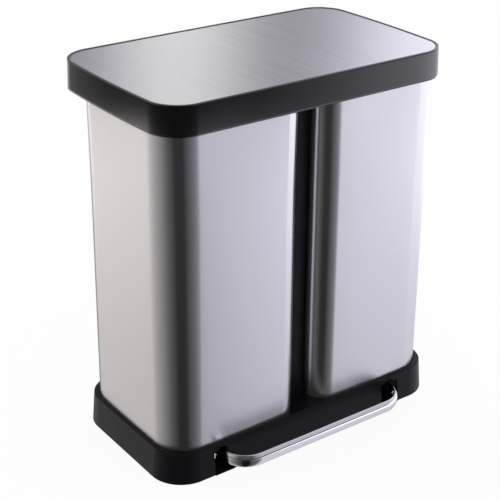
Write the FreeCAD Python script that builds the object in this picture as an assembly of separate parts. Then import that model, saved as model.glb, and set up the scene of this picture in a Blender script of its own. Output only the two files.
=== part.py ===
import FreeCAD, Part
import math
import os

# Double pedal bin: two brushed-steel columns side by side on one black plastic base, under one
# full-width hinged lid, worked by a chrome pedal bar across the front.
# Millimetres. +X to the right, +Y to the back, +Z up. The origin lies on the floor, under the
# middle of the whole depth from the pedal's front to the lid's back.

Vector = FreeCAD.Vector

# ---------------------------------------------------------------- driving dimensions
overall_height = 650.0

# the two steel columns
body_width = 550.0
body_depth = 277.0
body_corner = 57.0
groove_width = 33.0
groove_corner = 37.0
groove_depth = 38.0
steel_wall = 0.8
strip_thickness = 2.5
strip_return = 7.5

# base
foot_stand = 1.5
base_side_margin = 6.0
base_front_margin = 6.0
base_back_margin = 6.0
base_corner = 54.0
base_height = 57.0
base_flare = 4.2
base_wall = 3.0
base_edge_round = 2.0
shell_sink = 7.0
foot_radius = 11.0
foot_height = 6.0
foot_inset = 42.0

# lid
lid_side_over = 0.8
lid_front_over = 7.25
lid_behind_hinge = 31.75
lid_corner = 52.0
lid_skirt = 49.0
lid_side_bow = 6.4
lid_front_bow = 1.0
lid_flare = 1.1
lid_wall = 3.0
lid_edge_round = 1.6
lid_rim = 5.0
lid_ledge = 16.0
ledge_thickness = 2.5
panel_sink = 0.8
panel_thickness = 1.0
liner_thickness = 2.5
liner_above_collar = 7.3
lid_screw_share = 0.62
bumper_radius = 6.5
bumper_round = 1.2
bumper_back = 24.0

# collar on top of the columns
collar_flange = 2.2
collar_wall = 2.5
collar_inset = 6.0
collar_height = 14.8
collar_plug = 14.0
plate_thickness = 3.0

# inner buckets
bucket_inset = 14.0
bucket_taper = 10.0
bucket_wall = 2.0
bucket_rim = 5.0
bucket_rim_thickness = 3.0
bucket_play = 2.0
bucket_above_deck = 6.0

# hinge
lid_opening = 80.0
hinge_behind_body = 17.5
hinge_above_skirt = 11.0
hinge_pin_radius = 3.0
hinge_barrel = 8.0
cap_length = 3.0
cap_radius = 5.7
hinge_spread = 170.0
ear_width = 12.0
lug_width = 5.0

# crank, push rod and pedal
crank_radius = 30.0
crank_lead = 2.4
crank_foot_half = 15.0
crank_foot_reach = 6.4
rod_radius = 2.5
rod_offset = 7.0
rod_bend = 3.5
plate_steel = 4.0
pedal_width = 369.0
pedal_reach = 48.0
pedal_below_deck = 15.0
bar_height = 22.5
bar_thickness = 9.0
bar_wall = 1.4
bar_bend = 48.0
pivot_behind_front = 48.5
pivot_tube_radius = 6.0
axle_radius = 4.0
lever_root = 11.0
lever_tip = 6.0
arm_tail = 8.1
lever_slot_from_pivot = 65.0
gusset_radius = 9.4
gusset_length = 10.0
boss_gap = 5.0
boss_thickness = 6.0
axle_tail = 3.0
clip_thickness = 1.4
rod_clip_radius = 4.8
axle_clip_radius = 7.2

# openings in the base front for the pedal's arms
slot_width = 38.0
slot_below_deck = 2.0
sill_thickness = 2.0
slot_round = 4.75
slot_cut_depth = 4.5
arch_radius = 9.0
arch_below_rim = 6.0
arch_rim = 2.6
arch_proud = 1.6
pocket_depth = 34.0
pocket_wall = 2.0
sill_proud = 1.5

# damper beside the push rod
damper_radius = 5.0
damper_rod_radius = 2.0
damper_above_base = 19.0
damper_length = 78.0
damper_side = 8.2
damper_forward_of_rod = 28.0
damper_rod_bend = 3.2
damper_crown = 4.0
damper_tab = 26.0
damper_rod_inside = 13.0

# rear channel
channel_depth = 50.0
channel_wall = 2.5
channel_proud = 3.5

# screws
screw_radius = 1.6
screw_head_radius = 3.4
screw_head_height = 1.6
screw_length = 12.0
recess_length = 1.9
recess_width = 0.55
boss_radius = 5.0
crank_screw_spread = 10.0

# room around moving pieces, and clearances
crank_room = 4.0
rod_room = 3.0
cut_over = 1.0
same_height = 0.01
lid_gap = 0.8
slip = 0.3
running = 0.06
side_play = 0.5
slot_play = 0.9

# ---------------------------------------------------------------- worked-out places
lid_bottom = overall_height - lid_skirt
shell_top = lid_bottom - lid_gap - collar_flange
flange_top = shell_top + collar_flange
collar_top = flange_top + collar_height
liner_bottom = collar_top + liner_above_collar
shell_bottom = base_height - shell_sink
deck_bottom = shell_bottom - base_wall
bucket_bottom = shell_bottom + bucket_above_deck
damper_bottom = base_height + damper_above_base
slot_top = deck_bottom - slot_below_deck
slot_sill = foot_stand + sill_thickness
arch_top = base_height - arch_below_rim
pedal_height = deck_bottom - pedal_below_deck
arm_spread = (pedal_width - bar_thickness) / 2

base_width = body_width + 2 * base_side_margin
base_depth = body_depth + base_front_margin + base_back_margin
lid_back_over = hinge_behind_body + lid_behind_hinge
lid_width = body_width + 2 * lid_side_over
lid_depth = body_depth + lid_front_over + lid_back_over

# The pedal's front and the lid's back lie equally far from the origin.
front_reach = body_depth / 2 + base_front_margin + pedal_reach
back_reach = body_depth / 2 + lid_back_over + lid_front_bow + lid_flare
body_y = (front_reach - back_reach) / 2
body_front = body_y - body_depth / 2
body_back = body_y + body_depth / 2
base_front = body_front - base_front_margin
base_y = base_front + base_depth / 2
lid_y = body_front - lid_front_over + lid_depth / 2

column_inner = groove_width / 2
column_outer = body_width / 2

hinge_y = body_back + hinge_behind_body
hinge_z = lid_bottom + hinge_above_skirt
hinge_outer = hinge_spread + ear_width / 2 + side_play + lug_width

# The crank's pin lies as far below the hinge at rest as it rises above it when the lid is open.
crank_drop_angle = math.radians(lid_opening / 2 - crank_lead)
crank_y = hinge_y - crank_radius * math.cos(crank_drop_angle)
crank_z = hinge_z - crank_radius * math.sin(crank_drop_angle)
open_angle = math.radians(lid_opening)
rod_travel = crank_radius * (math.sin(open_angle - crank_drop_angle) + math.sin(crank_drop_angle))

pivot_y = body_front + pivot_behind_front
pivot_z = pedal_height
lever_reach = crank_y - pivot_y
lever_drop = rod_travel / 2
lever_pin_z = pivot_z - lever_drop
lever_length = math.hypot(lever_reach, lever_drop)
pedal_travel = 2 * math.degrees(math.asin(lever_drop / lever_length))

bar_front = base_front - pedal_reach
bar_y = bar_front + bar_thickness / 2
arm_end = pivot_y + arm_tail

boss_inner = arm_spread + bar_thickness / 2 + boss_gap
boss_outer = boss_inner + boss_thickness

channel_half = column_inner - slip
channel_back = body_back + channel_proud
channel_front = channel_back - channel_depth
lever_slot_front = pivot_y + lever_slot_from_pivot
damper_y = crank_y - damper_forward_of_rod
damper_pin_z = pivot_z - lever_drop * (damper_y - pivot_y) / lever_reach


# ---------------------------------------------------------------- shape helpers
def box(x0, x1, y0, y1, z0, z1):
    return Part.makeBox(x1 - x0, y1 - y0, z1 - z0, Vector(x0, y0, z0))


def rod_x(radius, x0, x1, y, z):
    return Part.makeCylinder(radius, x1 - x0, Vector(x0, y, z), Vector(1, 0, 0))


def rod_z(radius, x, y, z0, z1):
    return Part.makeCylinder(radius, z1 - z0, Vector(x, y, z0), Vector(0, 0, 1))


def rounded_wire(x0, x1, y0, y1, left_radius, right_radius, z):
    """Rectangle with round corners; the two left corners and the two right ones have a radius each."""
    quarter = math.pi / 2
    corners = [
        (x0, y0, 1, 1, left_radius, 2 * quarter),
        (x1, y0, -1, 1, right_radius, 3 * quarter),
        (x1, y1, -1, -1, right_radius, 0),
        (x0, y1, 1, -1, left_radius, quarter),
    ]
    arcs = []
    for x, y, inward_x, inward_y, radius, start in corners:
        centre = Vector(x + inward_x * radius, y + inward_y * radius, z)
        circle = Part.Circle(centre, Vector(0, 0, 1), radius)
        arcs.append(Part.Arc(circle, start, start + quarter).toShape())
    edges = []
    for i, arc in enumerate(arcs):
        following = arcs[(i + 1) % len(arcs)]
        edges.append(arc)
        edges.append(Part.makeLine(arc.lastVertex().Point, following.firstVertex().Point))
    return Part.Wire(Part.__sortEdges__(edges))


def prism(wire, height):
    return Part.Face(wire).extrude(Vector(0, 0, height))


def column_wire(side, inset, z):
    """Outline of one column, drawn in by the inset. Side is -1 on the left, 1 on the right."""
    near = column_inner + inset
    far = column_outer - inset
    front = body_front + inset
    back = body_back - inset
    near_radius = groove_corner - inset
    far_radius = body_corner - inset
    if side > 0:
        return rounded_wire(near, far, front, back, near_radius, far_radius, z)
    return rounded_wire(-far, -near, front, back, far_radius, near_radius, z)


def body_wire(inset, z):
    radius = body_corner - inset
    half = column_outer - inset
    return rounded_wire(-half, half, body_front + inset, body_back - inset, radius, radius, z)


def base_wire(grow, z):
    half_x = base_width / 2 + grow
    half_y = base_depth / 2 + grow
    radius = base_corner + grow
    return rounded_wire(-half_x, half_x, base_y - half_y, base_y + half_y, radius, radius, z)


def lid_wire(grow, z):
    """Outline of the lid: four slightly bowed sides and round corners."""
    half_x = lid_width / 2 + grow
    half_y = lid_depth / 2 + grow
    radius = lid_corner + grow
    front, back = lid_y - half_y, lid_y + half_y
    corner = [Vector(-half_x, front, z), Vector(half_x, front, z),
              Vector(half_x, back, z), Vector(-half_x, back, z)]
    middle = [Vector(0, front - lid_front_bow, z), Vector(half_x + lid_side_bow, lid_y, z),
              Vector(0, back + lid_front_bow, z), Vector(-half_x - lid_side_bow, lid_y, z)]
    sides = [Part.Arc(corner[i], middle[i], corner[(i + 1) % 4]).toShape() for i in range(4)]
    block = prism(Part.Wire(sides), lid_wall)
    upright = [e for e in block.Edges if abs(e.tangentAt(e.FirstParameter).z) > 0.9]
    block = block.makeFillet(radius, upright)
    lowest = min(block.Faces, key=lambda face: face.CenterOfMass.z)
    return lowest.OuterWire


def loft(lower, upper):
    return Part.makeLoft([lower, upper], True, True)


def link_plate(y0, z0, r0, y1, z1, r1, x0, x1):
    """Flat link with a round end at each of two points, in the plane across X."""
    length = math.hypot(y1 - y0, z1 - z0)
    lean = (r0 - r1) / length
    along_y, along_z = (y1 - y0) / length, (z1 - z0) / length
    reach = math.sqrt(1 - lean * lean)
    points = []
    for side, y, z, r in ((1, y0, z0, r0), (1, y1, z1, r1), (-1, y1, z1, r1), (-1, y0, z0, r0)):
        offset_y = lean * along_y - side * reach * along_z
        offset_z = lean * along_z + side * reach * along_y
        points.append(Vector(x0, y + r * offset_y, z + r * offset_z))
    web = Part.Face(Part.makePolygon(points + points[:1])).extrude(Vector(x1 - x0, 0, 0))
    return web.fuse([rod_x(r0, x0, x1, y0, z0), rod_x(r1, x0, x1, y1, z1)]).removeSplitter()


def long_hole(y0, y1, z, radius, x0, x1):
    slot = box(x0, x1, y0, y1, z - radius, z + radius)
    return slot.fuse([rod_x(radius, x0, x1, y0, z), rod_x(radius, x0, x1, y1, z)])


def screw(x, y, head_z, up, length):
    """Pan-head screw with a cross recess. Its shank points up or down from under the head."""
    direction = 1 if up else -1
    shank = Part.makeCylinder(screw_radius - slip / 3, length, Vector(x, y, head_z), Vector(0, 0, direction))
    head = Part.makeCylinder(screw_head_radius, screw_head_height, Vector(x, y, head_z),
                             Vector(0, 0, -direction))
    arm, width = recess_length, recess_width
    face = head_z - direction * screw_head_height
    depth = screw_head_height / 2
    low, high = min(face, face + direction * depth), max(face, face + direction * depth)
    cross = box(x - arm, x + arm, y - width, y + width, low, high)
    cross = cross.fuse(box(x - width, x + width, y - arm, y + arm, low, high))
    return shank.fuse(head).cut(cross)


# ---------------------------------------------------------------- base and columns
def foot_places():
    x = base_width / 2 - foot_inset
    y = base_depth / 2 - foot_inset
    return [(sx * x, base_y + sy * y) for sx in (-1, 1) for sy in (-1, 1)]


def arm_slot(side):
    """Cut for one pedal arm through the base front: a wide mouth under a narrow round arch."""
    x = side * arm_spread
    front, back = base_front - base_flare - cut_over, base_front + slot_cut_depth
    mouth = box(x - slot_width / 2, x + slot_width / 2, front, back, slot_sill, slot_top)
    above = slot_sill + cut_over
    corners = [e for e in mouth.Edges if abs(e.tangentAt(0).y) > 0.9 and e.CenterOfMass.z > above]
    mouth = mouth.makeFillet(slot_round, corners)
    arch = Part.makeCylinder(arch_radius, back - front, Vector(x, front, arch_top - arch_radius),
                             Vector(0, 1, 0))
    return mouth.fuse(arch)


def arch_bezel(side):
    """Raised half ring on the base front over one arm."""
    x, z = side * arm_spread, arch_top - arch_radius
    front, back = base_front - arch_proud, base_front + base_wall
    ring = Part.makeCylinder(arch_radius + arch_rim, back - front, Vector(x, front, z), Vector(0, 1, 0))
    ring = ring.cut(Part.makeCylinder(arch_radius, back - front, Vector(x, front, z), Vector(0, 1, 0)))
    outer = arch_radius + arch_rim
    lower = box(x - outer, x + outer, front, back, z - outer, z + arch_proud)
    return ring.cut(lower)


def arm_pocket(side):
    """Dark pocket behind one mouth: floor, sides and a back wall with a slit for the arm."""
    x = side * arm_spread
    half = slot_width / 2
    front, back = base_front, base_front + pocket_depth
    outer = box(x - half - pocket_wall, x + half + pocket_wall, front, back, foot_stand,
                deck_bottom + base_wall / 2)
    inner = box(x - half, x + half, front - cut_over, back - pocket_wall, slot_sill, deck_bottom + base_wall)
    slit_half = bar_thickness / 2 + 3 * side_play
    slit = box(x - slit_half, x + slit_half, front, back + cut_over, slot_sill, deck_bottom)
    lip = box(x - half, x + half, base_front - base_flare - sill_proud, front + cut_over,
              foot_stand, slot_sill)
    return outer.cut(inner).cut(slit).fuse(lip)


def axle_boss(side):
    """Upright web under the deck that holds one end of the pedal's axle."""
    x0, x1 = sorted((side * boss_inner, side * boss_outer))
    web = link_plate(pivot_y, pivot_z, lever_root, pivot_y, deck_bottom + base_wall / 2, lever_root, x0, x1)
    return web.common(box(x0, x1, pivot_y - base_depth, pivot_y + base_depth, 0, shell_bottom))


def make_base_tray():
    outer = loft(base_wire(base_flare, foot_stand), base_wire(0, base_height))
    rim = [e for e in outer.Edges if abs(e.CenterOfMass.z - base_height) < same_height]
    outer = outer.makeFillet(base_edge_round, rim)
    hollow = loft(base_wire(base_flare - base_wall, foot_stand), base_wire(-base_wall, base_height))
    hollow = hollow.common(box(-base_width, base_width, -base_width, base_width, 0,
                               base_height - base_wall))
    for side in (-1, 1):
        seat = prism(column_wire(side, -slip - base_wall, deck_bottom), base_height - deck_bottom)
        hollow = hollow.cut(seat)
    tray = outer.cut(hollow)
    for side in (-1, 1):
        tray = tray.cut(prism(column_wire(side, -slip, shell_bottom), base_height))
    posts = [rod_z(foot_radius + base_wall, x, y, foot_height - base_wall / 2, deck_bottom + base_wall / 2)
             for x, y in foot_places()]
    for side in (-1, 1):
        tray = tray.fuse([arm_pocket(side), axle_boss(side), arch_bezel(side)])
    tray = tray.fuse(posts)
    for side in (-1, 1):
        tray = tray.cut(arm_slot(side))
    for x, y in foot_places():
        tray = tray.cut(rod_z(foot_radius + slip, x, y, 0, foot_height))
        tray = tray.cut(rod_z(screw_radius, x, y, foot_stand, foot_stand + screw_head_height + screw_length))
    tray = tray.cut(rod_x(axle_radius + running, -boss_outer, boss_outer, pivot_y, pivot_z))
    lever_slot = box(-damper_side - damper_rod_radius - cut_over, rod_offset + rod_radius + rod_room,
                     lever_slot_front, channel_back - channel_wall, deck_bottom, base_height + cut_over)
    return tray.cut(lever_slot).removeSplitter()


def make_body_shell(side):
    """One column: thin brushed steel sheet wrapped round and closed by a seam at the back."""
    height = shell_top - shell_bottom
    outer = prism(column_wire(side, 0, shell_bottom), height)
    return outer.cut(prism(column_wire(side, steel_wall, shell_bottom), height))


def make_groove_strip():
    front = body_front + groove_depth
    half = column_inner - slip
    strip = box(-half, half, front, front + strip_thickness, base_height, shell_top)
    edges = [box(x, x + strip_thickness, front, front + strip_return, base_height, shell_top)
             for x in (-half, half - strip_thickness)]
    return strip.fuse(edges).removeSplitter()


def make_rear_channel():
    """Black channel in the rear groove, which hides the push rod and carries the damper."""
    channel = box(-channel_half, channel_half, channel_front, channel_back, base_height, shell_top)
    inside = channel_half - channel_wall
    channel = channel.cut(box(-inside, inside, channel_front - cut_over, channel_back - channel_wall,
                              base_height, shell_top))
    return channel.cut(crank_mouth())


def crank_mouth():
    """Room at the top of the rear channel and in the collar for the lid's crank."""
    left = plate_steel / 2 + rod_radius + rod_room
    right = rod_offset + rod_radius + rod_room
    front = hinge_y - crank_radius - lever_tip - crank_room
    low = crank_z - lever_tip - crank_room
    return box(-left, right, front, hinge_y + hinge_barrel, low, collar_top + cut_over)


def make_top_collar():
    flange = prism(body_wire(0, shell_top), collar_flange)
    wall = prism(body_wire(collar_inset, flange_top), collar_height)
    wall = wall.cut(prism(body_wire(collar_inset + collar_wall, flange_top), collar_height - plate_thickness))
    collar = flange.fuse(wall)
    for side in (-1, 1):
        plug = prism(column_wire(side, steel_wall + slip, shell_top - collar_plug), collar_plug)
        collar = collar.fuse(plug)
    for side in (-1, 1):
        inner = steel_wall + slip + collar_wall
        collar = collar.cut(prism(column_wire(side, inner, shell_top - collar_plug), collar_plug))
        opening = column_wire(side, bucket_inset - bucket_play, shell_top - cut_over)
        collar = collar.cut(prism(opening, collar_top - shell_top + 2 * cut_over))
    lugs = []
    for side in (-1, 1):
        for edge in (-1, 1):
            inner = side * hinge_spread + edge * (ear_width / 2 + side_play)
            x0, x1 = sorted((inner, inner + edge * lug_width))
            arm = box(x0, x1, body_back - collar_inset - collar_wall, hinge_y, hinge_z - hinge_barrel,
                      collar_top)
            foot = box(x0, x1, body_back - collar_inset - collar_wall, body_back - collar_inset,
                       flange_top, collar_top)
            lugs += [arm, foot, rod_x(hinge_barrel, x0, x1, hinge_y, hinge_z)]
    collar = collar.fuse(lugs)
    reach = hinge_spread + ear_width + lug_width
    collar = collar.cut(rod_x(hinge_pin_radius + running, -reach, reach, hinge_y, hinge_z))
    return collar.cut(crank_mouth()).removeSplitter()


def make_bucket(side):
    outer = loft(column_wire(side, bucket_inset + bucket_taper, bucket_bottom),
                 column_wire(side, bucket_inset, collar_top))
    inner = loft(column_wire(side, bucket_inset + bucket_taper + bucket_wall,
                             bucket_bottom + bucket_wall),
                 column_wire(side, bucket_inset + bucket_wall, collar_top))
    rim = prism(column_wire(side, bucket_inset - bucket_rim, collar_top), bucket_rim_thickness)
    mouth = prism(column_wire(side, bucket_inset + bucket_wall, collar_top), bucket_rim_thickness)
    return outer.fuse(rim).cut(inner.fuse(mouth)).removeSplitter()


def make_rubber_feet():
    feet = []
    for x, y in foot_places():
        pad = rod_z(foot_radius, x, y, 0, foot_height)
        pad = pad.cut(rod_z(screw_head_radius + side_play, x, y, 0, foot_stand + screw_head_height))
        pad = pad.cut(rod_z(screw_radius, x, y, 0, foot_height))
        feet.append(pad)
    return Part.Compound(feet)


def make_foot_screws():
    seat = foot_stand + screw_head_height
    return Part.Compound([screw(x, y, seat, True, screw_length) for x, y in foot_places()])


def bumper_places():
    x = column_inner / 2
    y = body_front + bumper_back
    return [(-x, y), (x, y)]


def make_lid_bumpers():
    pads = []
    for x, y in bumper_places():
        pad = rod_z(bumper_radius, x, y, collar_top, liner_bottom - slip)
        top = [e for e in pad.Edges if abs(e.CenterOfMass.z - (liner_bottom - slip)) < same_height]
        pads.append(pad.makeFillet(bumper_round, top))
    return Part.Compound(pads)


# ---------------------------------------------------------------- lid
def screw_places_on_lid():
    x = lid_width / 2 - lid_rim - lid_ledge + boss_radius
    y = lid_depth / 2 - lid_rim - lid_ledge + boss_radius
    places = [(sx * x * lid_screw_share, lid_y + sy * y) for sx in (-1, 1) for sy in (-1, 1)]
    return places + [(sx * x, lid_y) for sx in (-1, 1)]


panel_bottom = overall_height - panel_sink - panel_thickness
ledge_bottom = panel_bottom - ledge_thickness


def make_lid_frame():
    outer = loft(lid_wire(lid_flare, lid_bottom), lid_wire(0, overall_height))
    rim = [e for e in outer.Edges if abs(e.CenterOfMass.z - overall_height) < same_height]
    outer = outer.makeFillet(lid_edge_round, rim)
    cavity = prism(lid_wire(-lid_wall, lid_bottom - cut_over), ledge_bottom - lid_bottom + cut_over)
    recess = prism(lid_wire(-lid_rim, panel_bottom), overall_height - panel_bottom + cut_over)
    window = prism(lid_wire(-lid_rim - lid_ledge, ledge_bottom - cut_over), overall_height)
    frame = outer.cut(cavity).cut(recess).cut(window)
    top = liner_bottom + liner_thickness
    middle = (ledge_bottom + panel_bottom) / 2
    frame = frame.fuse([rod_z(boss_radius, x, y, top, middle) for x, y in screw_places_on_lid()])
    for x, y in screw_places_on_lid():
        frame = frame.cut(rod_z(screw_radius, x, y, top - cut_over, top + screw_length))
    return frame.removeSplitter()


def make_lid_panel():
    return prism(lid_wire(-lid_rim - slip, panel_bottom), panel_thickness)


def make_lid_liner():
    liner = prism(lid_wire(-lid_wall - slip, liner_bottom), liner_thickness)
    ears = []
    for side in (-1, 1):
        x0, x1 = side * hinge_spread - ear_width / 2, side * hinge_spread + ear_width / 2
        ears.append(rod_x(hinge_barrel, x0, x1, hinge_y, hinge_z))
        ears.append(box(x0, x1, hinge_y - hinge_barrel, hinge_y + hinge_barrel, hinge_z,
                        liner_bottom + liner_thickness / 2))
    liner = liner.fuse(ears)
    reach = hinge_spread + ear_width
    liner = liner.cut(rod_x(hinge_pin_radius + running, -reach, reach, hinge_y, hinge_z))
    for x, y in screw_places_on_lid() + crank_screw_places():
        liner = liner.cut(rod_z(screw_radius, x, y, liner_bottom, liner_bottom + liner_thickness))
    return liner.removeSplitter()


def make_lid_screws():
    return Part.Compound([screw(x, y, liner_bottom, True, screw_length) for x, y in screw_places_on_lid()])


def crank_screw_places():
    return [(side * crank_screw_spread, hinge_y) for side in (-1, 1)]


def make_lid_crank():
    """Steel bracket under the lid: a foot, a web round the hinge pin and an arm to the push rod."""
    half = plate_steel / 2
    arm = link_plate(hinge_y, hinge_z, hinge_barrel, crank_y, crank_z, lever_tip, -half, half)
    web = box(-half, half, hinge_y - hinge_barrel, hinge_y + hinge_barrel, hinge_z, liner_bottom)
    foot = box(-crank_foot_half, crank_foot_half, hinge_y - crank_foot_reach, hinge_y + crank_foot_reach,
               liner_bottom - plate_steel / 2, liner_bottom)
    crank = arm.fuse([web, foot])
    crank = crank.cut(rod_x(hinge_pin_radius + running, -half, half, hinge_y, hinge_z))
    crank = crank.cut(rod_x(rod_radius + running, -half, half, crank_y, crank_z))
    for x, y in crank_screw_places():
        crank = crank.cut(rod_z(screw_radius, x, y, liner_bottom - plate_steel, liner_bottom))
    return crank.removeSplitter()


def make_crank_screws():
    length = plate_steel + liner_thickness
    return Part.Compound([screw(x, y, liner_bottom - plate_steel / 2, True, length)
                          for x, y in crank_screw_places()])


def make_hinge_pin():
    end = hinge_outer + cap_length / 2
    return rod_x(hinge_pin_radius, -end, end, hinge_y, hinge_z)


def make_hinge_caps():
    """Push-on caps on the two ends of the hinge pin."""
    caps = []
    for side in (-1, 1):
        x0, x1 = sorted((side * hinge_outer, side * (hinge_outer + cap_length)))
        cap = rod_x(cap_radius, x0, x1, hinge_y, hinge_z)
        b0, b1 = sorted((side * hinge_outer, side * (hinge_outer + cap_length / 2)))
        caps.append(cap.cut(rod_x(hinge_pin_radius, b0, b1, hinge_y, hinge_z)))
    return Part.Compound(caps)


# ---------------------------------------------------------------- push rod, pedal and damper
def round_path(points, radius):
    """Path of straight runs joined by tangent arcs of one radius."""
    edges = []
    start = points[0]
    for before, corner, after in zip(points, points[1:], points[2:]):
        inward = (before - corner).normalize()
        outward = (after - corner).normalize()
        first = corner + inward * radius
        last = corner + outward * radius
        centre = first + outward * radius
        middle = centre + (corner - centre).normalize() * radius
        edges.append(Part.makeLine(start, first))
        edges.append(Part.Arc(first, middle, last).toShape())
        start = last
    edges.append(Part.makeLine(start, points[-1]))
    return Part.Wire(edges)


def round_bar(points, bend, radius):
    path = round_path(points, bend)
    direction = points[1] - points[0]
    section = Part.Wire(Part.Circle(points[0], direction, radius).toShape())
    return path.makePipeShell([section], True, False)


def make_push_rod():
    """Bent steel wire: a hook into the lid's crank on top and one into the pedal's lever below."""
    end = -plate_steel / 2 - rod_radius
    points = [Vector(end, crank_y, crank_z), Vector(rod_offset, crank_y, crank_z),
              Vector(rod_offset, crank_y, lever_pin_z), Vector(end, crank_y, lever_pin_z)]
    return round_bar(points, rod_bend, rod_radius)


def make_rod_clips():
    x1 = -plate_steel / 2 - side_play
    x0 = x1 - clip_thickness
    clips = []
    for z in (crank_z, lever_pin_z):
        ring = rod_x(rod_clip_radius, x0, x1, crank_y, z)
        clips.append(ring.cut(rod_x(rod_radius, x0, x1, crank_y, z)))
    return Part.Compound(clips)


def bar_section(centre, across, wall):
    """Flat oval section of the pedal's tube, in the plane of the given sideways direction and Z."""
    half_width = bar_thickness / 2 - wall
    straight = (bar_height - bar_thickness) / 2
    up = Vector(0, 0, 1)
    right_low = centre + across * half_width - up * straight
    right_high = centre + across * half_width + up * straight
    left_high = centre - across * half_width + up * straight
    left_low = centre - across * half_width - up * straight
    top = centre + up * (straight + half_width)
    bottom = centre - up * (straight + half_width)
    return Part.Wire([Part.makeLine(right_low, right_high), Part.Arc(right_high, top, left_high).toShape(),
                      Part.makeLine(left_high, left_low), Part.Arc(left_low, bottom, right_low).toShape()])


def make_pedal_bar():
    """Chromed tube bent to a wide U; its two arms go back through the base front to the axle."""
    corners = [Vector(-arm_spread, arm_end, pedal_height), Vector(-arm_spread, bar_y, pedal_height),
               Vector(arm_spread, bar_y, pedal_height), Vector(arm_spread, arm_end, pedal_height)]
    path = round_path(corners, bar_bend - bar_thickness / 2)
    tube = path.makePipeShell([bar_section(corners[0], Vector(1, 0, 0), 0)], True, False)
    bore = path.makePipeShell([bar_section(corners[0], Vector(1, 0, 0), bar_wall)], True, False)
    tube = tube.cut(bore)
    reach = arm_spread + bar_thickness
    return tube.cut(rod_x(pivot_tube_radius + running, -reach, reach, pivot_y, pivot_z))


def make_pivot_tube():
    end = boss_inner - 2 * side_play
    tube = rod_x(pivot_tube_radius, -end, end, pivot_y, pivot_z)
    return tube.cut(rod_x(axle_radius + running, -end, end, pivot_y, pivot_z))


def rod_track(steps=16):
    """Where the rod's lower hook stands on the lever while the lid opens, as (y, z) points."""
    track = []
    for i in range(steps + 1):
        turn = open_angle * i / steps
        drop_angle = crank_drop_angle - turn
        y = hinge_y - crank_radius * math.cos(drop_angle)
        z = lever_pin_z + crank_radius * (math.sin(crank_drop_angle) - math.sin(drop_angle))
        back = -math.radians(pedal_travel) * i / steps
        from_y, from_z = y - pivot_y, z - pivot_z
        track.append((pivot_y + from_y * math.cos(back) - from_z * math.sin(back),
                      pivot_z + from_y * math.sin(back) + from_z * math.cos(back)))
    return track


def make_pedal_lever():
    """Steel lever under the deck, from the pivot tube back to the push rod."""
    half = plate_steel / 2
    lever = link_plate(pivot_y, pivot_z, lever_root, crank_y, lever_pin_z, lever_tip, -half, half)
    lever = lever.cut(rod_x(pivot_tube_radius + running, -half, half, pivot_y, pivot_z))
    along = [y for y, z in rod_track()]
    across = [z for y, z in rod_track()]
    middle = (min(across) + max(across)) / 2
    hole = rod_radius + slot_play / 2 + (max(across) - min(across)) / 2
    lever = lever.cut(long_hole(min(along), max(along), middle, hole, -half, half))
    damper_play = damper_rod_radius + slot_play / 2
    return lever.cut(long_hole(damper_y - slot_play, damper_y + slot_play, damper_pin_z, damper_play,
                               -half, half))


def make_pedal_gussets():
    """Two stiffening angles that tie the pivot tube to the lever."""
    plates = []
    for side in (-1, 1):
        x0, x1 = sorted((side * plate_steel / 2, side * (plate_steel / 2 + gusset_length)))
        collar = rod_x(gusset_radius, x0, x1, pivot_y, pivot_z)
        plates.append(collar.cut(rod_x(pivot_tube_radius + running, x0, x1, pivot_y, pivot_z)))
    return Part.Compound(plates)


def make_pedal_axle():
    end = boss_outer + axle_tail
    return rod_x(axle_radius, -end, end, pivot_y, pivot_z)


def make_axle_clips():
    start = boss_outer + running
    clips = []
    for side in (-1, 1):
        x0, x1 = sorted((side * start, side * (start + clip_thickness)))
        ring = rod_x(axle_clip_radius, x0, x1, pivot_y, pivot_z)
        clips.append(ring.cut(rod_x(axle_radius, x0, x1, pivot_y, pivot_z)))
    return Part.Compound(clips)


def make_damper_body():
    """Closed cylinder on the channel's side wall; its bore is open below for the rod."""
    top = damper_bottom + damper_length
    body = rod_z(damper_radius, -damper_side, damper_y, damper_bottom, top)
    wall = -channel_half + channel_wall
    tab = box(wall, -damper_side, damper_y - damper_radius, damper_y + damper_radius,
              top - damper_tab, top)
    body = body.fuse(tab)
    return body.cut(rod_z(damper_rod_radius + running, -damper_side, damper_y, damper_bottom - cut_over,
                          top - damper_crown))


def make_damper_rod():
    top = damper_bottom + damper_rod_inside
    points = [Vector(-damper_side, damper_y, top), Vector(-damper_side, damper_y, damper_pin_z),
              Vector(plate_steel / 2 + damper_rod_radius, damper_y, damper_pin_z)]
    return round_bar(points, damper_rod_bend, damper_rod_radius)


# ---------------------------------------------------------------- write the pieces
pieces = {
    "base_tray": make_base_tray,
    "left_body_shell": lambda: make_body_shell(-1),
    "right_body_shell": lambda: make_body_shell(1),
    "groove_strip": make_groove_strip,
    "rear_channel": make_rear_channel,
    "top_collar": make_top_collar,
    "left_bucket": lambda: make_bucket(-1),
    "right_bucket": lambda: make_bucket(1),
    "rubber_feet": make_rubber_feet,
    "foot_screws": make_foot_screws,
    "lid_bumpers": make_lid_bumpers,
    "hinge_pin": make_hinge_pin,
    "hinge_caps": make_hinge_caps,
    "pedal_axle": make_pedal_axle,
    "axle_clips": make_axle_clips,
    "damper_body": make_damper_body,
    "lid_frame": make_lid_frame,
    "lid_panel": make_lid_panel,
    "lid_liner": make_lid_liner,
    "lid_screws": make_lid_screws,
    "lid_crank": make_lid_crank,
    "crank_screws": make_crank_screws,
    "push_rod": make_push_rod,
    "rod_clips": make_rod_clips,
    "pedal_bar": make_pedal_bar,
    "pivot_tube": make_pivot_tube,
    "pedal_lever": make_pedal_lever,
    "pedal_gussets": make_pedal_gussets,
    "damper_rod": make_damper_rod,
}

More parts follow.
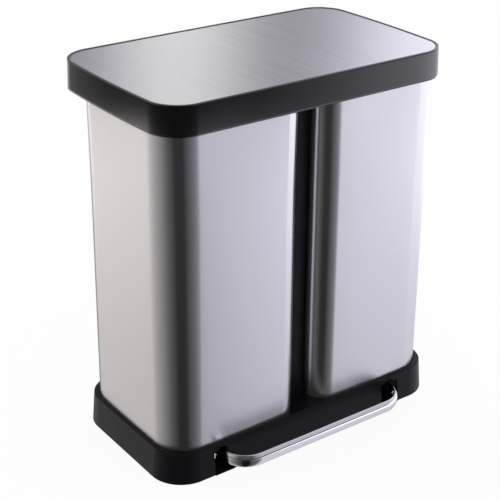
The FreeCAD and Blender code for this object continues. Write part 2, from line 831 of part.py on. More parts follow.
os.makedirs("parts", exist_ok=True)
for name, make in pieces.items():
    shape = make()
    shape.exportStep("parts/" + name + ".step")
    size = shape.BoundBox
    print(name, len(shape.Solids), "solids, valid", shape.isValid(),
          [round(v, 1) for v in (size.XMin, size.XMax, size.YMin, size.YMax, size.ZMin, size.ZMax)])

print("body_y", round(body_y, 3), "hinge", round(hinge_y, 3), round(hinge_z, 3))
print("crank pin", round(crank_y, 3), round(crank_z, 3), "rod travel", round(rod_travel, 3))
print("pedal pivot", round(pivot_y, 3), round(pivot_z, 3), "travel", round(pedal_travel, 4))
print("lever pin z", round(lever_pin_z, 3), "damper", round(damper_y, 3), round(damper_pin_z, 3))
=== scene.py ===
import bmesh
import bpy
import math
from mathutils import Matrix, Vector


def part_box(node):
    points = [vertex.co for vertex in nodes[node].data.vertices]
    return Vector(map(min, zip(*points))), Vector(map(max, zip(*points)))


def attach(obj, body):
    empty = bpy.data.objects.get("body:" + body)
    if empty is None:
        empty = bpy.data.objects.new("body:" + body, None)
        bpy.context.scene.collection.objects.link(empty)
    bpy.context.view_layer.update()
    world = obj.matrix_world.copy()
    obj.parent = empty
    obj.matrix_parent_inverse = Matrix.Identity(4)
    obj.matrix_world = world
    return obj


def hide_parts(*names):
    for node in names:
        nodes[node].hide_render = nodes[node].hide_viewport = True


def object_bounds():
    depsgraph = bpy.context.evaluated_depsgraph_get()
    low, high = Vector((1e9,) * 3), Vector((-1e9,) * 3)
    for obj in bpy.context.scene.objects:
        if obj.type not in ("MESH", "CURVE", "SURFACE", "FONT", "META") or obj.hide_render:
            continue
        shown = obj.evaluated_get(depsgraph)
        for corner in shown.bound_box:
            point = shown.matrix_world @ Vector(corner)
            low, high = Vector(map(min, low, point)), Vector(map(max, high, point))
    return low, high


# Double pedal bin: two brushed-steel columns on one black base, under one wide lid, with a chrome
# pedal bar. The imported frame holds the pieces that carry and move; the pieces seen first get
# their finished form here. Metres, +X to the right, +Y to the back, +Z up, floor at z = 0.
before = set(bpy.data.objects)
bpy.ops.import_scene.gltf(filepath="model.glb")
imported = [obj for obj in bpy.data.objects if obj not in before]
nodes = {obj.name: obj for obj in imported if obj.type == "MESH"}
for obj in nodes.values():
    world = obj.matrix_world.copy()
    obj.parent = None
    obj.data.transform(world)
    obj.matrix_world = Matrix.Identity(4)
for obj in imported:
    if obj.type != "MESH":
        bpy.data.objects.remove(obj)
cad_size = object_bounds()


# ---------------------------------------------------------------- camera
# A long lens at standing height, a little left of the front corner. It looks down less than to
# the bin's middle and is shifted instead, which keeps the upright lines nearly upright.
camera_azimuth = math.radians(-35.96)
camera_elevation = math.radians(23.29)
camera_roll = math.radians(0.41)
camera_distance = 2.2143
camera_focus = 93.09
camera_shift = -0.1
camera_aside = -0.0203
camera_rise = 0.0621
camera_film = 36
camera_far = 50

look = Vector((-math.sin(camera_azimuth) * math.cos(camera_elevation),
               math.cos(camera_azimuth) * math.cos(camera_elevation),
               -math.sin(camera_elevation)))
level_right = look.cross(Vector((0, 0, 1))).normalized()
level_up = level_right.cross(look)
right = level_right * math.cos(camera_roll) + level_up * math.sin(camera_roll)
up = level_up * math.cos(camera_roll) - level_right * math.sin(camera_roll)
column_low, column_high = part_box("left_body_shell")
aim = Vector((0, (column_low.y + column_high.y) / 2, cad_size[1].z / 2))
lens = bpy.data.cameras.new("studio_camera")
lens.lens = camera_focus
lens.sensor_width = camera_film
lens.shift_y = camera_shift
lens.clip_end = camera_far
camera = bpy.data.objects.new("studio_camera", lens)
bpy.context.scene.collection.objects.link(camera)
turn = Matrix((right, up, -look)).transposed().to_4x4()
place = aim - look * camera_distance + right * camera_aside + up * camera_rise
camera.matrix_world = Matrix.Translation(place) @ turn
bpy.context.scene.camera = camera


# ---------------------------------------------------------------- floor
# A wide matt white table, so bright that it melts into the white background. It keeps a soft
# shadow under the bin, and polished metal sees past it to the studio.
table_radius = 9
table_rim_parts = 96
table_white = (0.9, 0.9, 0.9, 1)
table_roughness = 0.9
background_share = 0.93


def deselect_all():
    """Nothing is selected, so the next operator acts on the new piece alone."""
    bpy.ops.object.select_all(action="DESELECT")


def new_material(name):
    """A material with its shader and output; returns the material, its node tree and the shader."""
    material = bpy.data.materials.new(name)
    material.use_nodes = True
    tree = material.node_tree
    return material, tree, tree.nodes["Principled BSDF"]


def table_material():
    material, tree, shader = new_material("white_table")
    shader.inputs["Base Color"].default_value = table_white
    shader.inputs["Roughness"].default_value = table_roughness
    rays = tree.nodes.new("ShaderNodeLightPath")
    share = tree.nodes.new("ShaderNodeMath")
    share.operation = "MULTIPLY"
    share.inputs[1].default_value = background_share
    glow = tree.nodes.new("ShaderNodeEmission")
    glow.inputs["Color"].default_value = (1, 1, 1, 1)
    mix = tree.nodes.new("ShaderNodeMixShader")
    tree.links.new(rays.outputs["Is Camera Ray"], share.inputs[0])
    tree.links.new(share.outputs[0], mix.inputs[0])
    tree.links.new(shader.outputs[0], mix.inputs[1])
    tree.links.new(glow.outputs[0], mix.inputs[2])
    tree.links.new(mix.outputs[0], tree.nodes["Material Output"].inputs["Surface"])
    return material


deselect_all()
bpy.ops.mesh.primitive_circle_add(vertices=table_rim_parts, radius=table_radius, fill_type="NGON",
                                  location=(0, 0, 0))
table = bpy.context.object
table.name = "table_top"
table.data.materials.append(table_material())
table.visible_glossy = False


# ---------------------------------------------------------------- studio light
# A white tent around the table with darker cloth on some sides. Matt surfaces get an even white
# light; metal mirrors the tent, bright at both sides and dark beyond the near corner. Three rings
# of cloth hang one above the other, and each is listed by bearing, grey and tint.
def add_ramp(tree, stops):
    """A colour ramp with these (place, colour) stops."""
    ramp = tree.nodes.new("ShaderNodeValToRGB")
    ramp.color_ramp.interpolation = "LINEAR"
    points = ramp.color_ramp.elements
    while len(points) < len(stops):
        points.new(0.5)
    for point, (place, colour) in zip(points, stops):
        point.position = place
        point.color = (*colour, 1)
    return ramp


plain = (1.0, 1.0, 1.0)
warm = (1.07, 1.0, 0.98)
violet = (1.01, 1.0, 1.12)
brown = (1.14, 1.0, 0.9)


def round_stops(panels):
    """Ramp stops from (bearing in degrees counter-clockwise from +X, grey, tint)."""
    stops = []
    for bearing, grey, tint in panels:
        stops.append(((bearing + 180) / 360, [grey * part for part in tint]))
    return stops


low_panels = [
    (-180, 0.30, plain), (-160, 0.13, plain), (-142, 0.055, plain), (-137, 0.012, brown),
    (-109, 0.012, brown), (-104, 0.07, violet), (-90, 0.13, violet), (-78, 0.19, violet),
    (-66, 0.30, violet), (-61, 0.42, violet), (-58.5, 0.70, violet), (-57, 0.80, violet),
    (-55, 0.80, violet), (-52, 0.96, violet), (-50, 0.95, violet), (-48.5, 0.88, violet),
    (-44, 0.88, violet), (-30, 0.85, violet), (30, 0.8, violet), (48, 0.2, plain), (88, 0.2, plain),
    (98, 0.86, warm), (122, 0.86, warm), (132, 0.74, warm), (151, 0.52, warm), (180, 0.30, plain),
]
middle_panels = [
    (-180, 0.02, plain), (-58, 0.02, plain), (-54, 0.10, plain), (-51, 0.40, violet),
    (-48, 0.95, violet), (-45, 1.5, violet), (-43, 2.0, violet), (-30, 1.7, violet),
    (30, 0.9, plain), (98, 0.8, warm), (108, 0.48, warm), (114, 0.26, warm), (119, 0.12, plain),
    (125, 0.05, plain), (131, 0.02, plain), (180, 0.02, plain),
]
high_panels = [
    (-180, 0.4, plain), (-150, 0.08, plain), (-100, 0.08, plain), (-60, 0.5, violet),
    (20, 0.9, violet), (44, 1.3, violet), (46.9, 1.15, violet), (48.8, 0.75, violet),
    (50.7, 0.42, violet), (52.6, 0.3, violet), (54, 0.42, violet), (55.5, 0.85, plain),
    (57, 1.05, plain), (59, 0.95, plain), (60.5, 0.6, violet), (62, 0.3, violet),
    (66, 0.3, violet), (72, 0.6, violet), (110, 0.8, plain), (180, 0.4, plain),
]
# where a ring of cloth starts over the one below it, and where it hides it, as upward share
middle_hem = (-0.325, -0.308)
high_hem = (-0.225, -0.15)
# brightness of the cloth from steeply down (0) to just below the horizon (1)
fall_range = (-0.6, -0.3)
upright_fall = [
    (0.0, 0.76), (0.27, 0.8), (0.35, 0.84), (0.57, 0.97), (0.75, 1.45), (0.85, 2.5), (0.92, 2.7),
    (0.97, 1.0), (1.0, 1.0),
]


def studio_world():
    """White light for matt surfaces, and the tent for rays that a gloss sends out."""
    world = bpy.data.worlds.new("studio")
    world.use_nodes = True
    tree = world.node_tree
    tree.nodes.clear()
    direction = tree.nodes.new("ShaderNodeTexCoord")
    parts = tree.nodes.new("ShaderNodeSeparateXYZ")
    tree.links.new(direction.outputs["Generated"], parts.inputs[0])
    bearing = tree.nodes.new("ShaderNodeMath")
    bearing.operation = "ARCTAN2"
    tree.links.new(parts.outputs["Y"], bearing.inputs[0])
    tree.links.new(parts.outputs["X"], bearing.inputs[1])
    around = tree.nodes.new("ShaderNodeMapRange")
    around.inputs["From Min"].default_value = -math.pi
    around.inputs["From Max"].default_value = math.pi
    tree.links.new(bearing.outputs[0], around.inputs["Value"])
    below = add_ramp(tree, round_stops(low_panels))
    tree.links.new(around.outputs[0], below.inputs[0])
    tent = below.outputs[0]
    for panels, (start, full) in ((middle_panels, middle_hem), (high_panels, high_hem)):
        above = add_ramp(tree, round_stops(panels))
        tree.links.new(around.outputs[0], above.inputs[0])
        height = tree.nodes.new("ShaderNodeMapRange")
        height.interpolation_type = "SMOOTHSTEP"
        height.inputs["From Min"].default_value = start
        height.inputs["From Max"].default_value = full
        tree.links.new(parts.outputs["Z"], height.inputs["Value"])
        stacked = tree.nodes.new("ShaderNodeMix")
        stacked.data_type = "RGBA"
        tree.links.new(height.outputs[0], stacked.inputs["Factor"])
        tree.links.new(tent, stacked.inputs["A"])
        tree.links.new(above.outputs[0], stacked.inputs["B"])
        tent = stacked.outputs["Result"]
    depth = tree.nodes.new("ShaderNodeMapRange")
    depth.inputs["From Min"].default_value, depth.inputs["From Max"].default_value = fall_range
    tree.links.new(parts.outputs["Z"], depth.inputs["Value"])
    fall = add_ramp(tree, [(place, (grey, grey, grey)) for place, grey in upright_fall])
    tree.links.new(depth.outputs[0], fall.inputs[0])
    shade = tree.nodes.new("ShaderNodeVectorMath")
    shade.operation = "MULTIPLY"
    tree.links.new(tent, shade.inputs[0])
    tree.links.new(fall.outputs[0], shade.inputs[1])
    mirrored = tree.nodes.new("ShaderNodeBackground")
    tree.links.new(shade.outputs[0], mirrored.inputs["Color"])
    white = tree.nodes.new("ShaderNodeBackground")
    white.inputs["Color"].default_value = (1, 1, 1, 1)
    rays = tree.nodes.new("ShaderNodeLightPath")
    mix = tree.nodes.new("ShaderNodeMixShader")
    tree.links.new(rays.outputs["Is Glossy Ray"], mix.inputs[0])
    tree.links.new(white.outputs[0], mix.inputs[1])
    tree.links.new(mirrored.outputs[0], mix.inputs[2])
    output = tree.nodes.new("ShaderNodeOutputWorld")
    tree.links.new(mix.outputs[0], output.inputs["Surface"])
    bpy.context.scene.world = world


studio_world()
bpy.context.scene.view_settings.view_transform = "Standard"


# ---------------------------------------------------------------- steel columns
# Each column is one thin sheet of stainless steel, brushed round its girth, bent to four round
# corners and closed by a folded seam at the back. It stands in the base's ledge.
column_corner = 0.057
groove_corner = 0.037
sheet_thickness = 0.0008
corner_segments = 36
column_rows = 17
wide_slices = 11
deep_slices = 9
face_crown = 0.0016
crown_fade = 0.12
ripple_size = 0.24
ripple_height = 0.0005
column_smooth = 30
seam_width = 0.009
seam_proud = 0.0007
same_place = 0.0004
nearly_level = 0.9
collar_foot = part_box("top_collar")[0].z


def block(name, low, high):
    """A cube primitive stretched between two corners, with its place in its mesh."""
    deselect_all()
    low, high = Vector(low), Vector(high)
    bpy.ops.mesh.primitive_cube_add(size=1, location=(low + high) / 2, scale=high - low)
    piece = bpy.context.object
    piece.name = name
    piece.data.name = name
    bpy.ops.object.transform_apply(location=True, rotation=True, scale=True)
    return piece


def middle_of(part):
    """The middle of a face's or an edge's corners."""
    return sum((corner.co for corner in part.verts), Vector()) / len(part.verts)


def upright(edge):
    """Test for edges that run up and down."""
    first, last = edge.verts[0].co, edge.verts[1].co
    return abs(first.z - last.z) > nearly_level * (first - last).length


def pick(piece, kind, test):
    """In edit mode, selects the faces, edges or corners that pass the test."""
    bpy.ops.mesh.select_mode(type=kind)
    bpy.ops.mesh.select_all(action="DESELECT")
    shape = bmesh.from_edit_mesh(piece.data)
    parts = {"VERT": shape.verts, "EDGE": shape.edges, "FACE": shape.faces}[kind]
    for part in parts:
        if test(part):
            part.select_set(True)
    shape.select_flush_mode()
    bmesh.update_edit_mesh(piece.data)


def slice_mesh(places, axis):
    """In edit mode, cuts the whole mesh across an axis at each place, so it can bend there."""
    normal = Vector([float(i == axis) for i in range(3)])
    for place in places:
        bpy.ops.mesh.select_all(action="SELECT")
        bpy.ops.mesh.bisect(plane_co=normal * place, plane_no=normal)


def steps(start, end, count):
    """Even steps between two places, without its ends."""
    return [start + (end - start) * (i + 1) / (count + 1) for i in range(count)]


def apply_modifier(piece, kind, **settings):
    """Adds a modifier with these settings and applies it at once."""
    deselect_all()
    piece.select_set(True)
    bpy.context.view_layer.objects.active = piece
    bpy.ops.object.modifier_add(type=kind)
    modifier = piece.modifiers[-1]
    for setting, value in settings.items():
        setattr(modifier, setting, value)
    bpy.ops.object.modifier_apply(modifier=modifier.name)


def smooth(piece, degrees):
    """Shades the piece smooth, apart from edges sharper than this angle."""
    deselect_all()
    piece.select_set(True)
    bpy.context.view_layer.objects.active = piece
    bpy.ops.object.shade_smooth_by_angle(angle=math.radians(degrees))


def crown_faces(piece, low, high):
    """In edit mode, draws the corners in a little below the collar, so that the wide faces bow."""
    centre, half = (low + high) / 2, (high - low) / 2
    shape = bmesh.from_edit_mesh(piece.data)
    for corner in shape.verts:
        along_x = (corner.co.x - centre.x) / half.x
        along_y = (corner.co.y - centre.y) / half.y
        crown = face_crown * min(1, max(0, (collar_foot - corner.co.z) / crown_fade))
        corner.co.x -= along_x * crown * min(1, abs(along_y)) ** 2
        corner.co.y -= along_y * crown * min(1, abs(along_x)) ** 2
    bmesh.update_edit_mesh(piece.data)


def steel_column(name, node, outer_side):
    """One bent sheet with open ends, a seam at the back and slightly bowed faces."""
    low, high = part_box(node)
    piece = block(name, low, high)
    bpy.ops.object.mode_set(mode="EDIT")
    outer_x, inner_x = (low.x, high.x) if outer_side < 0 else (high.x, low.x)
    for radius, edge_x in ((column_corner, outer_x), (groove_corner, inner_x)):
        pick(piece, "EDGE", lambda e: upright(e) and abs(middle_of(e).x - edge_x) < same_place)
        bpy.ops.mesh.bevel(offset=radius, segments=corner_segments, affect="EDGES")
    pick(piece, "FACE", lambda f: abs(f.normal.z) > nearly_level)
    bpy.ops.mesh.delete(type="FACE")
    seam_x = (low.x + high.x) / 2
    slice_mesh([seam_x - seam_width / 2, seam_x + seam_width / 2], 0)
    pick(piece, "FACE",
         lambda f: f.normal.y > nearly_level and abs(middle_of(f).x - seam_x) < seam_width / 4)
    bpy.ops.mesh.extrude_region_move(TRANSFORM_OT_translate={"value": (0, seam_proud, 0)})
    slice_mesh([collar_foot, *steps(low.z, high.z, column_rows)], 2)
    slice_mesh(steps(low.x + column_corner, high.x - column_corner, wide_slices), 0)
    slice_mesh(steps(low.y + column_corner, high.y - column_corner, deep_slices), 1)
    crown_faces(piece, low, high)
    bpy.ops.mesh.select_all(action="SELECT")
    bpy.ops.mesh.normals_make_consistent(inside=False)
    bpy.ops.object.mode_set(mode="OBJECT")
    ripple = bpy.data.textures.new("sheet_ripple", "CLOUDS")
    ripple.noise_scale = ripple_size
    apply_modifier(piece, "DISPLACE", texture=ripple, strength=ripple_height, mid_level=0.5)
    apply_modifier(piece, "SOLIDIFY", thickness=sheet_thickness, offset=-1)
    smooth(piece, column_smooth)
    piece.data.materials.append(brushed_round)
    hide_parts(node)
    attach(piece, "bin")


steel_colour = (0.66, 0.655, 0.67, 1)
scratch_detail = 6
scratch_roughness = 0.65
scratch_spread = (0.25, 0.75)
scratch_strength = 0.05
scratch_depth = 0.0003


def grain_group():
    """Fine parallel scratches: noise stretched by the vector that comes in."""
    group = bpy.data.node_groups.new("brushed_grain", "ShaderNodeTree")
    group.interface.new_socket("Vector", in_out="INPUT", socket_type="NodeSocketVector")
    group.interface.new_socket("Base", in_out="INPUT", socket_type="NodeSocketColor")
    group.interface.new_socket("Contrast", in_out="INPUT", socket_type="NodeSocketFloat")
    group.interface.new_socket("Roughness", in_out="INPUT", socket_type="NodeSocketFloat")
    group.interface.new_socket("Color", in_out="OUTPUT", socket_type="NodeSocketColor")
    group.interface.new_socket("Roughness", in_out="OUTPUT", socket_type="NodeSocketFloat")
    group.interface.new_socket("Height", in_out="OUTPUT", socket_type="NodeSocketFloat")
    given = group.nodes.new("NodeGroupInput")
    made = group.nodes.new("NodeGroupOutput")
    link = group.links.new
    hair = group.nodes.new("ShaderNodeTexNoise")
    hair.inputs["Scale"].default_value = 1
    hair.inputs["Detail"].default_value = scratch_detail
    hair.inputs["Roughness"].default_value = scratch_roughness
    link(given.outputs["Vector"], hair.inputs["Vector"])
    tone = group.nodes.new("ShaderNodeMapRange")
    tone.inputs["From Min"].default_value, tone.inputs["From Max"].default_value = scratch_spread
    link(hair.outputs["Fac"], tone.inputs["Value"])
    low = group.nodes.new("ShaderNodeMath")
    low.operation = "SUBTRACT"
    low.inputs[0].default_value = 1
    link(given.outputs["Contrast"], low.inputs[1])
    link(low.outputs[0], tone.inputs["To Min"])
    high = group.nodes.new("ShaderNodeMath")
    high.operation = "ADD"
    high.inputs[0].default_value = 1
    link(given.outputs["Contrast"], high.inputs[1])
    link(high.outputs[0], tone.inputs["To Max"])
    colour = group.nodes.new("ShaderNodeVectorMath")
    colour.operation = "SCALE"
    link(given.outputs["Base"], colour.inputs[0])
    link(tone.outputs[0], colour.inputs["Scale"])
    link(colour.outputs[0], made.inputs["Color"])
    rough = group.nodes.new("ShaderNodeMath")
    rough.operation = "MULTIPLY"
    link(given.outputs["Roughness"], rough.inputs[0])
    link(tone.outputs[0], rough.inputs[1])
    link(rough.outputs[0], made.inputs["Roughness"])
    link(hair.outputs["Fac"], made.inputs["Height"])
    return group


brushed_grain = grain_group()


def brushed_steel(name, along, roughness, contrast):
    """Stainless steel with scratches that are long where the stretch is small."""
    material, tree, shader = new_material(name)
    link = tree.links.new
    where = tree.nodes.new("ShaderNodeTexCoord")
    stretch = tree.nodes.new("ShaderNodeMapping")
    stretch.inputs["Scale"].default_value = along
    grain = tree.nodes.new("ShaderNodeGroup")
    grain.node_tree = brushed_grain
    grain.inputs["Base"].default_value = steel_colour
    grain.inputs["Contrast"].default_value = contrast
    grain.inputs["Roughness"].default_value = roughness
    bump = tree.nodes.new("ShaderNodeBump")
    bump.inputs["Strength"].default_value = scratch_strength
    bump.inputs["Distance"].default_value = scratch_depth
    link(where.outputs["Object"], stretch.inputs["Vector"])
    link(stretch.outputs[0], grain.inputs["Vector"])
    link(grain.outputs["Color"], shader.inputs["Base Color"])
    link(grain.outputs["Roughness"], shader.inputs["Roughness"])
    link(grain.outputs["Height"], bump.inputs["Height"])
    link(bump.outputs[0], shader.inputs["Normal"])
    shader.inputs["Metallic"].default_value = 1
    return material, tree, shader


brushed_round, tree, shader = brushed_steel("steel_brushed_round", along=(9, 9, 1500),
                                            roughness=0.25, contrast=0.05)
shader.inputs["Anisotropic"].default_value = 0.75
shader.inputs["Anisotropic Rotation"].default_value = 0.25
grain_line = tree.nodes.new("ShaderNodeTangent")
grain_line.direction_type = "RADIAL"
grain_line.axis = "Z"
tree.links.new(grain_line.outputs[0], shader.inputs["Tangent"])
steel_column("left_steel_column", "left_body_shell", -1)
steel_column("right_steel_column", "right_body_shell", 1)


# ---------------------------------------------------------------- black mouldings
# Base, collar, strips and lid frame are black polypropylene with a fine satin grain from the
# mould, a little glossier where hands and feet rub it.
grain_detail = 3
grain_depth = 0.0002
rubbed_size = 9
rubbed_detail = 4
rubbed_spread = (0.3, 0.7)
rubbed_gloss = (0.88, 1.12)
rubbed_shade = (0.85, 1.2)


def moulded_plastic(name, colour, roughness, grain_size, bump_strength, gloss_level=0.5):
    """Moulded plastic or rubber: a fine grain, and patches a little glossier and paler from use."""
    material, tree, shader = new_material(name)
    shader.inputs["Specular IOR Level"].default_value = gloss_level
    link = tree.links.new
    where = tree.nodes.new("ShaderNodeTexCoord")
    pits = tree.nodes.new("ShaderNodeTexNoise")
    pits.inputs["Scale"].default_value = grain_size
    pits.inputs["Detail"].default_value = grain_detail
    rubbed = tree.nodes.new("ShaderNodeTexNoise")
    rubbed.inputs["Scale"].default_value = rubbed_size
    rubbed.inputs["Detail"].default_value = rubbed_detail
    gloss = tree.nodes.new("ShaderNodeMapRange")
    gloss.inputs["From Min"].default_value, gloss.inputs["From Max"].default_value = rubbed_spread
    gloss.inputs["To Min"].default_value = roughness * rubbed_gloss[0]
    gloss.inputs["To Max"].default_value = roughness * rubbed_gloss[1]
    shade = tree.nodes.new("ShaderNodeMix")
    shade.data_type = "RGBA"
    for socket, share in zip("AB", rubbed_shade):
        shade.inputs[socket].default_value = (*[part * share for part in colour], 1)
    bump = tree.nodes.new("ShaderNodeBump")
    bump.inputs["Strength"].default_value = bump_strength
    bump.inputs["Distance"].default_value = grain_depth
    link(where.outputs["Object"], pits.inputs["Vector"])
    link(where.outputs["Object"], rubbed.inputs["Vector"])
    link(rubbed.outputs["Fac"], gloss.inputs["Value"])
    link(rubbed.outputs["Fac"], shade.inputs["Factor"])
    link(shade.outputs["Result"], shader.inputs["Base Color"])
    link(gloss.outputs[0], shader.inputs["Roughness"])
    link(pits.outputs["Fac"], bump.inputs["Height"])
    link(bump.outputs[0], shader.inputs["Normal"])
    return material


def dress(node, material):
    """Gives a node that keeps its shape its finish."""
    slots = nodes[node].data.materials
    if len(slots) == 0:
        slots.append(material)
    for i in range(len(slots)):
        slots[i] = material


black_plastic = moulded_plastic("black_plastic", colour=(0.005, 0.0048, 0.0062), roughness=0.34,
                                grain_size=1500, bump_strength=0.12, gloss_level=0.13)
for node in ("base_tray", "groove_strip", "rear_channel", "top_collar", "lid_liner"):
    dress(node, black_plastic)


# ---------------------------------------------------------------- lid frame
# One black moulding: a deep skirt with slightly bowed sides, a narrow rim on top and a ledge
# inside it on which the steel panel lies. It is hollow below.
lid_low, lid_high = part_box("lid_frame")
panel_low, panel_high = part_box("lid_panel")
lid_corner = 0.052
lid_side_bow = 0.0064
lid_front_bow = 0.001
lid_flare = 0.0011
lid_wall = 0.003
lid_rim = 0.005
lid_ledge = 0.016
ledge_thickness = 0.0025
lid_edge_round = 0.0016
lid_corner_segments = 22
lid_wide_slices = 13
lid_deep_slices = 9
lid_round_segments = 5
lid_foot_loop = 0.003
lid_top_loop = 0.001
small_round = 0.0005
small_segments = 2
sharp_edge = math.radians(50)
nearly_upright = 0.2
lid_smooth = 25


def bowed_block(name, grow, z_low, z_high):
    """Rounded plate with the lid's outline, grown or drawn in all round."""
    half_x = lid_high.x - lid_side_bow - lid_flare + grow
    half_y = (lid_high.y - lid_low.y) / 2 - lid_front_bow - lid_flare + grow
    centre_y = (lid_high.y + lid_low.y) / 2
    piece = block(name, (-half_x, centre_y - half_y, z_low), (half_x, centre_y + half_y, z_high))
    bpy.ops.object.mode_set(mode="EDIT")
    pick(piece, "EDGE", upright)
    bpy.ops.mesh.bevel(offset=lid_corner + grow, segments=lid_corner_segments, affect="EDGES")
    flat_x = half_x - lid_corner - grow
    flat_y = half_y - lid_corner - grow
    slice_mesh(steps(-flat_x, flat_x, lid_wide_slices), 0)
    slice_mesh(steps(centre_y - flat_y, centre_y + flat_y, lid_deep_slices), 1)
    shape = bmesh.from_edit_mesh(piece.data)
    for corner in shape.verts:
        along_x = corner.co.x / half_x
        along_y = (corner.co.y - centre_y) / half_y
        corner.co.x += along_x * lid_side_bow * (1 - along_y ** 2)
        corner.co.y += along_y * lid_front_bow * (1 - along_x ** 2)
    bmesh.update_edit_mesh(piece.data)
    return piece


def facing(z_side, z_place):
    """Test for faces that look up or down at one height."""
    return lambda f: (f.normal.z * z_side > nearly_level
                      and abs(middle_of(f).z - z_place) < same_place)


def on_outer_top(edge):
    """Edges between the rim's top and the skirt."""
    if len(edge.link_faces) != 2 or abs(middle_of(edge).z - lid_high.z) > same_place:
        return False
    level = [abs(face.normal.z) for face in edge.link_faces]
    middles = [middle_of(face).z for face in edge.link_faces]
    turns_down = max(level) > nearly_level and min(level) < nearly_upright
    return turns_down and min(middles) < panel_low.z - same_place


def lid_frame_piece():
    """The frame: flared skirt, narrow rim, ledge for the steel plate, hollow below."""
    piece = bowed_block("lid_surround", 0, lid_low.z, lid_high.z)
    pick(piece, "VERT", lambda v: v.co.z < (lid_low.z + lid_high.z) / 2)
    wide = lid_high.x - lid_flare
    deep = (lid_high.y - lid_low.y) / 2 - lid_flare
    centre = Vector((0, (lid_high.y + lid_low.y) / 2, lid_low.z))
    bpy.ops.transform.resize(value=(1 + lid_flare / wide, 1 + lid_flare / deep, 1),
                             center_override=centre)
    ledge_top = panel_low.z
    ledge_low = ledge_top - ledge_thickness
    slice_mesh([lid_low.z + lid_foot_loop, lid_high.z - lid_edge_round - lid_top_loop], 2)
    pick(piece, "FACE", facing(1, lid_high.z))
    bpy.ops.mesh.inset(thickness=lid_rim)
    bpy.ops.mesh.extrude_region_move(
        TRANSFORM_OT_translate={"value": (0, 0, ledge_top - lid_high.z)})
    bpy.ops.mesh.inset(thickness=lid_ledge)
    bpy.ops.mesh.delete(type="FACE")
    pick(piece, "FACE", facing(-1, lid_low.z))
    bpy.ops.mesh.inset(thickness=lid_wall)
    bpy.ops.mesh.extrude_region_move(
        TRANSFORM_OT_translate={"value": (0, 0, ledge_low - lid_low.z)})
    bpy.ops.mesh.inset(thickness=lid_rim + lid_ledge - lid_wall)
    bpy.ops.mesh.delete(type="FACE")
    pick(piece, "EDGE", lambda e: e.is_boundary)
    bpy.ops.mesh.bridge_edge_loops()
    pick(piece, "EDGE", on_outer_top)
    bpy.ops.mesh.bevel(offset=lid_edge_round, segments=lid_round_segments, affect="EDGES")
    bpy.ops.mesh.select_all(action="SELECT")
    bpy.ops.mesh.normals_make_consistent(inside=False)
    bpy.ops.object.mode_set(mode="OBJECT")
    apply_modifier(piece, "BEVEL", width=small_round, segments=small_segments,
                   limit_method="ANGLE", angle_limit=sharp_edge)
    smooth(piece, lid_smooth)
    piece.data.materials.append(lid_plastic)
    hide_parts("lid_frame")
    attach(piece, "lid")


lid_plastic = moulded_plastic("lid_plastic", colour=(0.0035, 0.0035, 0.004), roughness=0.1,
                              grain_size=1500, bump_strength=0.02, gloss_level=0.8)
lid_frame_piece()


# ---------------------------------------------------------------- lid panel
# A thin plate of stainless steel, brushed from front to back, pressed with a slight crown and
# laid into the frame with a narrow dark gap all round.
panel_gap = 0.0003
panel_crown = 0.0004
panel_round = 0.0003
panel_smooth = 20


def lid_panel_piece():
    """The plate, with the frame's outline inside its rim and a slightly crowned top."""
    piece = bowed_block("lid_steel_plate", -lid_rim - panel_gap, panel_low.z, panel_high.z)
    half_x = panel_high.x
    half_y = (panel_high.y - panel_low.y) / 2
    centre_y = (panel_high.y + panel_low.y) / 2
    shape = bmesh.from_edit_mesh(piece.data)
    for corner in shape.verts:
        if corner.co.z > (panel_low.z + panel_high.z) / 2:
            across = 1 - min(1, abs(corner.co.x) / half_x) ** 2
            deep = 1 - min(1, abs(corner.co.y - centre_y) / half_y) ** 2
            corner.co.z += panel_crown * across * deep
    bmesh.update_edit_mesh(piece.data)
    bpy.ops.object.mode_set(mode="OBJECT")
    apply_modifier(piece, "BEVEL", width=panel_round, segments=small_segments,
                   limit_method="ANGLE", angle_limit=sharp_edge)
    smooth(piece, panel_smooth)
    piece.data.materials.append(brushed_flat)
    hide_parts("lid_panel")
    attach(piece, "lid")


brushed_flat = brushed_steel("steel_brushed_flat", along=(700, 5, 14),
                             roughness=0.2, contrast=0.13)[0]
lid_panel_piece()


# ---------------------------------------------------------------- inner buckets
# Two lift-out buckets moulded in dark grey polypropylene, a little narrower at the foot. Each
# hangs by its rim in the collar and is seen only when the lid is open.
bucket_plastic = moulded_plastic("bucket_plastic", colour=(0.045, 0.046, 0.05), roughness=0.42,
                                 grain_size=1200, bump_strength=0.1)
for node in ("left_bucket", "right_bucket"):
    dress(node, bucket_plastic)


# ---------------------------------------------------------------- pedal bar
# A chromed steel tube of flat oval section, bent to a wide U. Its arms pass through the base
# front and turn on the axle inside.
def plated_metal(name, darkest, palest, smoothest, dullest, cloud_size, cloud_detail):
    """Plated metal, whose tint and polish change a little in soft clouds."""
    material, tree, shader = new_material(name)
    link = tree.links.new
    shader.inputs["Metallic"].default_value = 1
    where = tree.nodes.new("ShaderNodeTexCoord")
    cloud = tree.nodes.new("ShaderNodeTexNoise")
    cloud.inputs["Scale"].default_value = cloud_size
    cloud.inputs["Detail"].default_value = cloud_detail
    polish = tree.nodes.new("ShaderNodeMapRange")
    polish.inputs["To Min"].default_value = smoothest
    polish.inputs["To Max"].default_value = dullest
    tint = tree.nodes.new("ShaderNodeMix")
    tint.data_type = "RGBA"
    tint.inputs["A"].default_value = (*darkest, 1)
    tint.inputs["B"].default_value = (*palest, 1)
    link(where.outputs["Object"], cloud.inputs["Vector"])
    link(cloud.outputs["Fac"], polish.inputs["Value"])
    link(cloud.outputs["Fac"], tint.inputs["Factor"])
    link(polish.outputs[0], shader.inputs["Roughness"])
    link(tint.outputs["Result"], shader.inputs["Base Color"])
    return material


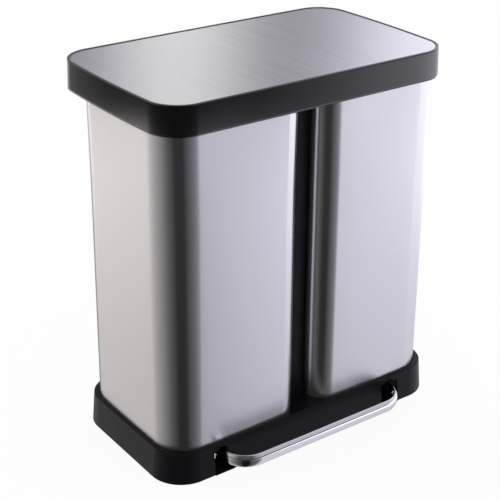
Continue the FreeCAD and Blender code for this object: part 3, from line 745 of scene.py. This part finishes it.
chrome = plated_metal("chrome", darkest=(0.80, 0.80, 0.82), palest=(0.86, 0.86, 0.88),
                      smoothest=0.03, dullest=0.09, cloud_size=60, cloud_detail=5)
bar_low, bar_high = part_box("pedal_bar")
bar_thickness = 0.009
bar_height = 0.0225
bar_wall = 0.0014
bar_bend = 0.048
bar_section_parts = 48
bar_bend_steps = 20
bar_smooth = 40
merge_near = 0.00001


def pedal_tube():
    """The oval section, drawn along one arm, the first bend, the front, and back again."""
    deselect_all()
    radius = bar_thickness / 2
    arm_x = bar_high.x - radius
    middle_z = (bar_low.z + bar_high.z) / 2
    bend = bar_bend - radius
    front_y = bar_low.y + radius
    bpy.ops.mesh.primitive_circle_add(vertices=bar_section_parts, radius=radius,
                                      fill_type="NOTHING",
                                      location=(-arm_x, bar_high.y, middle_z),
                                      rotation=(math.pi / 2, 0, 0))
    piece = bpy.context.object
    piece.name = "pedal_tube"
    piece.data.name = "pedal_tube"
    bpy.ops.object.transform_apply(location=True, rotation=True, scale=True)
    bpy.ops.object.mode_set(mode="EDIT")
    bpy.ops.mesh.select_all(action="SELECT")
    bpy.ops.transform.resize(value=(1, 1, bar_height / bar_thickness),
                             center_override=(-arm_x, bar_high.y, middle_z))
    bpy.ops.mesh.extrude_region_move(
        TRANSFORM_OT_translate={"value": (0, front_y + bend - bar_high.y, 0)})
    bpy.ops.mesh.spin(steps=bar_bend_steps, angle=-math.pi / 2, axis=(0, 0, 1),
                      center=(bend - arm_x, front_y + bend, middle_z))
    bpy.ops.mesh.extrude_region_move(TRANSFORM_OT_translate={"value": (2 * (arm_x - bend), 0, 0)})
    bpy.ops.mesh.spin(steps=bar_bend_steps, angle=-math.pi / 2, axis=(0, 0, 1),
                      center=(arm_x - bend, front_y + bend, middle_z))
    bpy.ops.mesh.extrude_region_move(
        TRANSFORM_OT_translate={"value": (0, bar_high.y - front_y - bend, 0)})
    bpy.ops.mesh.select_all(action="SELECT")
    bpy.ops.mesh.remove_doubles(threshold=merge_near)
    bpy.ops.mesh.normals_make_consistent(inside=False)
    bpy.ops.object.mode_set(mode="OBJECT")
    apply_modifier(piece, "SOLIDIFY", thickness=bar_wall, offset=-1)
    smooth(piece, bar_smooth)
    piece.data.materials.append(chrome)
    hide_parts("pedal_bar")
    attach(piece, "pedal")


pedal_tube()


# ---------------------------------------------------------------- metal inside
# Pins, levers, rod, clips and screws of turned, bent and pressed steel, zinc-plated, dull and
# slightly blue. Most of them are hidden in the base, the lid and the rear channel.
zinc = plated_metal("zinc_plate", darkest=(0.50, 0.51, 0.53), palest=(0.64, 0.65, 0.68),
                    smoothest=0.28, dullest=0.48, cloud_size=220, cloud_detail=4)
for node in ("foot_screws", "hinge_pin", "pedal_axle", "axle_clips", "lid_screws", "lid_crank",
             "crank_screws", "push_rod", "rod_clips", "pivot_tube", "pedal_lever", "pedal_gussets",
             "damper_rod"):
    dress(node, zinc)


# ---------------------------------------------------------------- rubber, caps and damper
# Soft black feet screwed under the base, bumpers on the collar where the lid's front comes down,
# push-on caps on the hinge pin, and the damper's grey cylinder, held by the rear channel.
rubber = moulded_plastic("rubber", colour=(0.018, 0.018, 0.018), roughness=0.75,
                         grain_size=900, bump_strength=0.2)
for node in ("rubber_feet", "lid_bumpers"):
    dress(node, rubber)
dress("hinge_caps", black_plastic)
damper_plastic = moulded_plastic("damper_plastic", colour=(0.12, 0.12, 0.13), roughness=0.45,
                                 grain_size=1000, bump_strength=0.08)
dress("damper_body", damper_plastic)
